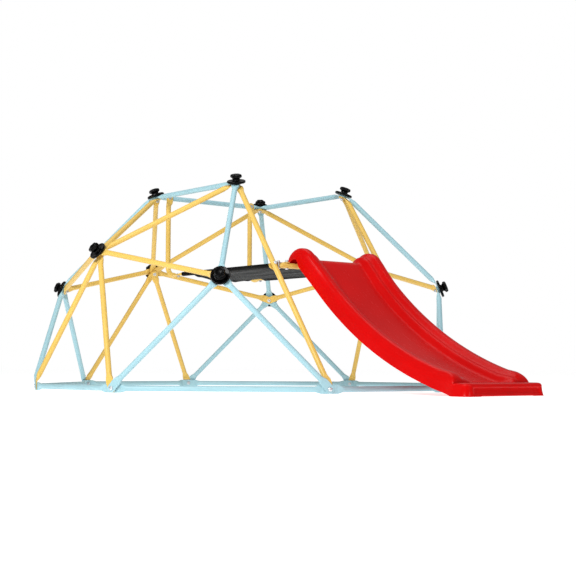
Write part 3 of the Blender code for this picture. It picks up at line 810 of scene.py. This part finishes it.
def sleeve_profile():
    """(y, z, held) across the cloth from the right hem to the left one. y and z are from the middle, at the
    side rails' height. The cloth runs in under the sheet, out round the rail and back over it."""
    arm = [
        (-SEAM_IN - HEM_W, CLOTH_RISE - 0.0022),
        (-SEAM_IN, CLOTH_RISE - 0.0018),
        (-0.5 * SEAM_IN - 0.004, -0.0032),
    ]
    for degrees in range(-140, 141, 20):
        angle = math.radians(degrees)
        arm.append((math.cos(angle) * SLEEVE_R, math.sin(angle) * SLEEVE_R))
    arm += [(-0.5 * SEAM_IN - 0.004, 0.0048), (-SEAM_IN, CLOTH_RISE), (-SEAM_IN - HEM_W, CLOTH_RISE)]
    right = [(-PLATFORM_Y - y, z, 1.0) for y, z in arm]
    left = [(PLATFORM_Y + y, z, 1.0) for y, z in arm[::-1]]
    start, end = right[-1][0], left[0][0]
    middle = []
    for k in range(1, CLOTH_MIDDLE):
        middle.append((start + (end - start) * k / CLOTH_MIDDLE, CLOTH_RISE, 0.0))
    return right + middle + left


def cloth_mesh():
    profile = sleeve_profile()
    back, front = LAP.x + CLOTH_BACK, RAIL.x - CLOTH_FRONT
    bm = bmesh.new()
    rows = []
    for i in range(CLOTH_ROWS + 1):
        x = back + (front - back) * i / CLOTH_ROWS
        row = []
        for y, z, held in profile:
            slack = 0.0
            if not held:
                edge = min(x - back, front - x)
                slack = 0.0010 * math.sin(95 * y + 2.5 * math.sin(5 * x) + 1.3)
                slack += 0.0007 * math.sin(41 * y - 7 * x)
                slack += 0.0022 * math.exp(-edge / 0.03) * math.sin(52 * y + 1)
            row.append(bm.verts.new((x, y, SIDE_RAIL_Z + z + slack)))
        rows.append(row)
    for near, far in zip(rows, rows[1:]):
        for j in range(len(profile) - 1):
            bm.faces.new((near[j], far[j], far[j + 1], near[j + 1]))
    return bm, profile


def simulate(obj, held):
    """Hangs the sheet between its sleeves with Blender's Cloth, and applies the result."""
    group = obj.vertex_groups.new(name="held")
    group.add(held, 1.0, "REPLACE")
    cloth = obj.modifiers.new("Cloth", "CLOTH")
    cloth.settings.quality = 8
    cloth.settings.mass = 0.25
    cloth.settings.tension_stiffness = 60
    cloth.settings.compression_stiffness = 60
    cloth.settings.shear_stiffness = 30
    cloth.settings.bending_stiffness = 1.2
    cloth.settings.vertex_group_mass = "held"
    cloth.settings.pin_stiffness = 1.0
    cloth.collision_settings.use_collision = False
    cloth.point_cache.frame_start = 1
    cloth.point_cache.frame_end = CLOTH_FRAMES
    scene = bpy.context.scene
    for number in range(1, CLOTH_FRAMES + 1):
        scene.frame_set(number)
        bpy.context.view_layer.update()
    graph = bpy.context.evaluated_depsgraph_get()
    mesh = bpy.data.meshes.new_from_object(obj.evaluated_get(graph))
    obj.modifiers.clear()
    obj.data = mesh
    obj.vertex_groups.clear()
    scene.frame_set(1)


def crease_sheet(obj, profile):
    """Adds the long soft creases of a sheet pulled between two rails."""
    columns = len(profile)
    for index, vertex in enumerate(obj.data.vertices):
        y, _, held = profile[index % columns]
        if held:
            continue
        near = smooth_step((PLATFORM_Y - SEAM_IN - HEM_W - abs(y)) / 0.03)
        x = vertex.co.x
        fold = 0.0016 * math.sin(88 * y + 1.6 * math.sin(6.5 * x + 1) + 0.7)
        fold += 0.0012 * math.sin(151 * y + 2.2 * math.sin(4.2 * x) - 1.1) * (0.5 + 0.5 * math.sin(7 * x))
        vertex.co.z += near * fold


def edge_hem(name, sheet, columns, first):
    """A narrow folded hem under the sheet's front or back edge, copied from its rows."""
    count = 3
    rows = range(count) if first else range(CLOTH_ROWS - count + 1, CLOTH_ROWS + 1)
    arm = len(sleeve_profile()) // 2 - CLOTH_MIDDLE // 2
    picked = range(arm + 1, columns - arm - 1)
    bm = bmesh.new()
    made = []
    for i in rows:
        line = []
        for j in picked:
            place = sheet.data.vertices[i * columns + j].co
            line.append(bm.verts.new(place - Z * 0.0011 - SHIFT))
        made.append(line)
    for near, far in zip(made, made[1:]):
        for j in range(len(picked) - 1):
            bm.faces.new((near[j], far[j], far[j + 1], near[j + 1]))
    hem = add_piece(name, bm, CLOTH, "black_cloth")
    thicken(hem, CLOTH_T)
    return hem


def thicken(obj, thickness, offset=0.0):
    solidify = obj.modifiers.new("Thickness", "SOLIDIFY")
    solidify.thickness = thickness
    solidify.offset = offset
    solidify.use_even_offset = True


def make_stitches(name, back, front):
    """Two rows of stitches through each sleeve's seam, showing above and below the sheet."""
    bm = bmesh.new()
    radius = 0.00038
    length = 0.68 * STITCH
    count = int((front - back - 0.008) / STITCH)
    for side in (-1, 1):
        for inset in (SEAM_IN, SEAM_IN + 0.006):
            y = side * (PLATFORM_Y - inset)
            for under in (False, True):
                z = SIDE_RAIL_Z + CLOTH_RISE + (-0.0026 if under else 0.0006)
                for k in range(count):
                    x = back + 0.004 + STITCH * k
                    rows = [(0.0001, 0), (radius, 0.0004), (radius, length - 0.0004), (0.0001, length)]
                    turned(Vector((x, y, z)), X, rows, 6, bm)
    return add_piece(name, bm, THREAD, "black_cloth")


def make_cloth():
    back, front = LAP.x + CLOTH_BACK, RAIL.x - CLOTH_FRONT
    bm, profile = cloth_mesh()
    columns = len(profile)
    sheet = add_piece("platform_sheet", bm, CLOTH, "black_cloth", "platform_cloth", crease=80)
    held = [i for i in range(len(sheet.data.vertices)) if profile[i % columns][2]]
    simulate(sheet, held)
    crease_sheet(sheet, profile)
    hems = [
        edge_hem("platform_hem_back", sheet, columns, True),
        edge_hem("platform_hem_front", sheet, columns, False),
    ]
    thicken(sheet, CLOTH_T)
    sheet.data.shade_smooth()
    stitches = make_stitches("platform_stitches", back, front)


# ---- slide -----------------------------------------------------------------

def bed_path():
    """(point, slope) down the middle of the bed, closely spaced."""
    path = []
    crest = RAIL + X * SLIDE_CREST_X
    crest.z = SLIDE_TOP_Z
    for k in range(17):
        slope = -SLIDE_HOOK * (1 - (k / 16) ** 1.7)
        path.append((crest + (X * math.sin(slope) - Z * (1 - math.cos(slope))) * SLIDE_CREST_R, slope))
    for k in range(1, 13):
        slope = SLIDE_STEEP * k / 12
        path.append((crest + (X * math.sin(slope) - Z * (1 - math.cos(slope))) * SLIDE_CREST_R, slope))
    down = Vector((math.cos(SLIDE_STEEP), 0, -math.sin(SLIDE_STEEP)))
    start = path[-1][0]
    for k in range(1, 9):
        path.append((start + down * SLIDE_STEEP_RUN * k / 8, SLIDE_STEEP))
    for radius, slopes in (
        (SLIDE_BEND_R, [SLIDE_STEEP + (SLIDE_SHALLOW - SLIDE_STEEP) * k / 48 for k in range(1, 49)]),
        (SLIDE_EXIT_R, [SLIDE_SHALLOW * (1 - k / 10) for k in range(1, 11)]),
    ):
        last, steep = path[-1]
        for slope in slopes:
            across = X * (math.sin(steep) - math.sin(slope)) * radius
            path.append((last + across - Z * (math.cos(slope) - math.cos(steep)) * radius, slope))
    flat, _ = path[-1]
    front = RAIL.x + SLIDE_FRONT_X
    end = front - RAIL_END
    for k in range(1, 17):
        share = 1 - (1 - k / 16) ** 1.8
        path.append((Vector((flat.x + (end - flat.x) * share, 0, flat.z)), 0))
    for k in range(1, 10):
        path.append((Vector((end + (front - SHOULDER - end) * k / 9, 0, flat.z)), 0))
    return path


def rail_share(inwards):
    """Height of a rail's inner side as a share of its ridge: a broad top, a ledge, then the foot."""
    if inwards < LEDGE_IN:
        return LEDGE + (1 - LEDGE) * (1 - smooth_step((inwards - RIDGE_END) / 0.029))
    return LEDGE * (1 - smooth_step((inwards - LEDGE_END) / (RAIL_FOOT_D - LEDGE_END)))


def slide_columns(half_w):
    """(y, share of the rail's height) across the top of the slide, between the rails' outer shoulders."""
    steps = [SHOULDER, 0.031, 0.036, RIDGE_END, 0.044, 0.048, 0.052]
    steps += [0.056, 0.060, 0.063, 0.066, 0.069, LEDGE_IN]
    steps += [LEDGE_END + (RAIL_FOOT_D - LEDGE_END) * (k / 9) for k in range(10)]
    half = [(half_w - inwards, rail_share(inwards)) for inwards in steps]
    inner = half_w - RAIL_FOOT_D
    half += [(inner * (1 - k / 9), 0.0) for k in range(1, 10)]
    return half + [(-y, share) for y, share in half[-2::-1]]


def chute_rows():
    """For each row down the slide: point, normal, half width, rail height, wall depth and edge rounding."""
    path = bed_path()
    ground_drop = path[-1][0].z - GROUND
    run, rows = 0.0, []
    ends = [i for i, (point, _) in enumerate(path) if point.x <= RAIL.x + SLIDE_FRONT_X - RAIL_END + 1e-6]
    total = sum((path[i + 1][0] - path[i][0]).length for i in range(ends[-1]))
    shallow_from = None
    for i, (point, slope) in enumerate(path):
        if i:
            run += (point - path[i - 1][0]).length
        share = min(max(run / RAIL_NOSE, 0), 1)
        height = RAIL_H * math.sqrt(1 - (1 - share) ** 2)
        share = min(max((total - run) / RAIL_TAIL, 0), 1)
        height = min(height, RAIL_H * math.sqrt(1 - (1 - share) ** 2)) + 0.0004
        half_w = SLIDE_TOP_HALF_W + (SLIDE_HALF_W - SLIDE_TOP_HALF_W) * smooth_step((run - 0.05) / 0.20)
        half_w += TOE_EXTRA_W * smooth_step((point.x - RAIL.x - SLIDE_FRONT_X + 0.12) / 0.06)
        depth = WALL_DROP * smooth_step((run - 0.04) / 0.06)
        if i > PAST_CREST and slope <= SLIDE_SHALLOW + 1e-6:
            shallow_from = shallow_from or (point.x, point.z - WALL_DROP / math.cos(slope))
            line = shallow_from[1] - math.tan(SLIDE_SHALLOW) * (point.x - shallow_from[0])
            depth = max(depth, min(point.z - line, ground_drop))
        fillet = 0.006 + (TOE_ROUND - 0.006) * smooth_step(run / 0.1)
        normal = Vector((math.sin(slope), 0, math.cos(slope)))
        rows.append((point, normal, half_w, height, depth, fillet))
    return rows


def wall_profile(height, depth, fillet):
    """(outwards, upwards) from the shoulder's top edge down the outer wall."""
    power = 2 / (1.9 + 0.8 * (1 - min(height / RAIL_H, 1)))
    fall = 0.75 * height + fillet
    reach = SHOULDER - 0.002
    profile = []
    for k in range(1, 10):
        angle = math.pi / 2 * k / 9
        profile.append((reach * math.sin(angle) ** power, height - fall * (1 - math.cos(angle) ** power)))
    top = height - fall
    bottom = min(-depth, top - 0.0012)
    for k in range(1, 14):
        share = k / 13
        profile.append((reach + 0.002 * share, top + (bottom - top) * share))
    return profile


def front_relief(y, half_w, share_down, drop):
    """How far a point of the foot's front face is set back, for its recessed panel and small bottom lip."""
    inside = smooth_step((half_w - SHOULDER - 0.004 - abs(y)) / 0.010)
    down = share_down * drop
    panel = smooth_step((down - 0.0165) / 0.0035) * smooth_step((drop - 0.0065 - down) / 0.0035)
    return RECESS * inside * panel


def make_slide():
    """The top of the chute as a grid, then a skirt down its sides and round the front of its foot."""
    rows = chute_rows()
    bm = bmesh.new()
    grid = []
    for point, normal, half_w, height, _, _ in rows:
        line = []
        for y, share in slide_columns(half_w):
            line.append(bm.verts.new(point + Y * y + normal * height * share))
        grid.append(line)
    for near, far in zip(grid, grid[1:]):
        for j in range(len(near) - 1):
            bm.faces.new((near[j], far[j], far[j + 1], near[j + 1]))

    last = len(rows) - 1
    stations = []
    for i in range(last + 1):
        stations.append((grid[i][-1], -Y, i))
    for k in range(1, 9):
        angle = math.pi / 2 * k / 9
        stations.append((grid[last][-1], -Y * math.cos(angle) + X * math.sin(angle), last))
    for j in range(len(grid[last]) - 1, -1, -1):
        stations.append((grid[last][j], X, last))
    for k in range(8, 0, -1):
        angle = math.pi / 2 * k / 9
        stations.append((grid[last][0], Y * math.cos(angle) + X * math.sin(angle), last))
    for i in range(last, -1, -1):
        stations.append((grid[i][0], Y, i))

    before = None
    for edge, out, i in stations:
        point, normal, half_w, height, depth, fillet = rows[i]
        facing = out.x > 0.99 and i == last
        base = Vector((edge.co.x, edge.co.y, edge.co.z)) - normal * height * (0 if facing else 1)
        level = 0.0 if facing else height
        strip = [edge]
        profile = wall_profile(level, depth, fillet)
        low = profile[-1][1]
        flare = TOE_FLARE * smooth_step((point.x - RAIL.x - SLIDE_FRONT_X + 0.11) / 0.05)
        for across, up in profile:
            across += flare * min(up / low, 1) ** 3 if up < 0 else 0
            if facing:
                across -= front_relief(edge.co.y, half_w, -up / -low, -low)
            if i == last and up < -0.02:
                lift = 0.0026 * smooth_step((0.150 - abs(edge.co.y)) / 0.02) if facing else 0.0
                up += lift * (up / low) ** 2
            strip.append(bm.verts.new(base + out * across + normal * up))
        if before:
            for k in range(len(strip) - 1):
                corners = [before[k], strip[k], strip[k + 1], before[k + 1]]
                if before[k] is strip[k]:
                    corners.pop(0)
                bm.faces.new(corners)
        before = strip

    bm.normal_update()
    bmesh.ops.recalc_face_normals(bm, faces=bm.faces)
    bm.faces.ensure_lookup_table()
    middle = len(grid[0]) // 2
    if bm.faces[BED_ROW * (len(grid[0]) - 1) + middle].normal.z < 0:
        bmesh.ops.reverse_faces(bm, faces=bm.faces)
    slide = add_piece("slide_chute", bm, RED, "red_plastic", "slide", crease=60)
    thicken(slide, SLIDE_T, -1.0)
    soften = slide.modifiers.new("Rounded rim", "BEVEL")
    soften.width = 0.0012
    soften.segments = 2
    soften.limit_method = "ANGLE"
    soften.angle_limit = math.radians(60)


def make_toe_base():
    """The flat plate closed into the underside of the slide's foot."""
    front = RAIL.x + SLIDE_FRONT_X - 0.010
    half_w, corner, length = SLIDE_HALF_W - 0.008, 0.020, 0.050
    rings = []
    for height, inset in ((0.0004, 0.001), (0.0012, 0), (0.0040, 0), (0.0048, 0.001)):
        ring = []
        for way_x, way_y, turn in ((1, 1, 0), (-1, 1, 1), (-1, -1, 2), (1, -1, 3)):
            for k in range(7):
                angle = math.pi / 2 * (turn + k / 6)
                x = front - length / 2 + way_x * (length / 2 - corner) + (corner - inset) * math.cos(angle)
                y = way_y * (half_w - corner) + (corner - inset) * math.sin(angle)
                ring.append(Vector((x, y, GROUND + height)))
        rings.append(ring)
    add_piece("slide_foot_plate", bridge(rings), RED, "red_plastic")


# ---- studio ----------------------------------------------------------------

def make_floor():
    bm = bmesh.new()
    bmesh.ops.create_grid(bm, x_segments=1, y_segments=1, size=40)
    mesh = bpy.data.meshes.new("floor")
    bm.to_mesh(mesh)
    bm.free()
    n = Nodes("floor")
    tone = n.mix(n.noise(0.8, 2), (0.90, 0.90, 0.90), (0.92, 0.92, 0.92))
    rough = n.remap(n.noise(30, 3), 0.3, 0.7, 0.55, 0.65)
    glow = dict(Emission_Color=(1, 1, 1, 1), Emission_Strength=FLOOR_GLOW)
    mesh.materials.append(n.finish(tone, rough, n.bump(n.noise(200, 2), 0.02, 0.001), **glow))
    floor = bpy.data.objects.new("floor", mesh)
    bpy.context.scene.collection.objects.link(floor)
    floor.location.z = -0.0005


def add_light(name, place, target, size, watts):
    light = bpy.data.lights.new(name, "AREA")
    light.shape = "DISK"
    light.size = size
    light.energy = watts
    obj = bpy.data.objects.new(name, light)
    bpy.context.scene.collection.objects.link(obj)
    obj.location = place
    obj.rotation_euler = (Vector(target) - Vector(place)).to_track_quat("-Z", "Y").to_euler()


def make_lights():
    world = bpy.data.worlds.new("studio")
    bpy.context.scene.world = world
    world.use_nodes = True
    tree = world.node_tree
    seen = tree.nodes.new("ShaderNodeLightPath")
    strength = tree.nodes.new("ShaderNodeMapRange")
    strength.inputs["To Min"].default_value = WORLD_LIGHT
    strength.inputs["To Max"].default_value = 1.0
    tree.links.new(seen.outputs["Is Camera Ray"], strength.inputs["Value"])
    tree.links.new(strength.outputs["Result"], tree.nodes["Background"].inputs["Strength"])
    tree.nodes["Background"].inputs["Color"].default_value = (1, 1, 1, 1)
    add_light("key", (1.2, -3.4, 2.6), (0, 0, 0.4), 1.6, 115)
    add_light("fill", (4.5, -0.5, 2.2), (0.2, 0, 0.4), 2.0, 28)
    add_light("top", (-0.3, 0.3, 3.6), (0, 0, 0), 2.4, 25)


def make_camera():
    azimuth, rise, roll = math.radians(140.48), math.radians(3.588), math.radians(0.216)
    ahead = Vector((math.cos(azimuth) * math.cos(rise), math.sin(azimuth) * math.cos(rise), math.sin(rise)))
    right = ahead.cross(Z).normalized()
    up = right.cross(ahead)
    right, up = right * math.cos(roll) + up * math.sin(roll), up * math.cos(roll) - right * math.sin(roll)
    camera = bpy.data.cameras.new("camera")
    camera.lens = 78.9
    camera.sensor_width = 36
    obj = bpy.data.objects.new("camera", camera)
    bpy.context.scene.collection.objects.link(obj)
    place = Vector((4.497, -3.479, 0.0836)) + SHIFT
    obj.matrix_world = Matrix.Translation(place) @ Matrix((right, up, -ahead)).transposed().to_4x4()
    bpy.context.scene.camera = obj


def main():
    bpy.context.scene.view_settings.view_transform = "Standard"
    make_camera()
    make_dome()
    for j, corner in enumerate(CORNERS):
        make_hub(f"hub_top_{corner}", ("top", j))
        make_hub(f"hub_corner_{corner}", ("corner", j))
    for k, side in enumerate(SIDES[:3]):
        make_hub(f"hub_side_{side}", ("side", k))
    make_front_rail()
    make_platform_frames()
    make_cloth()
    make_slide()
    make_toe_base()
    make_floor()
    make_lights()


main()
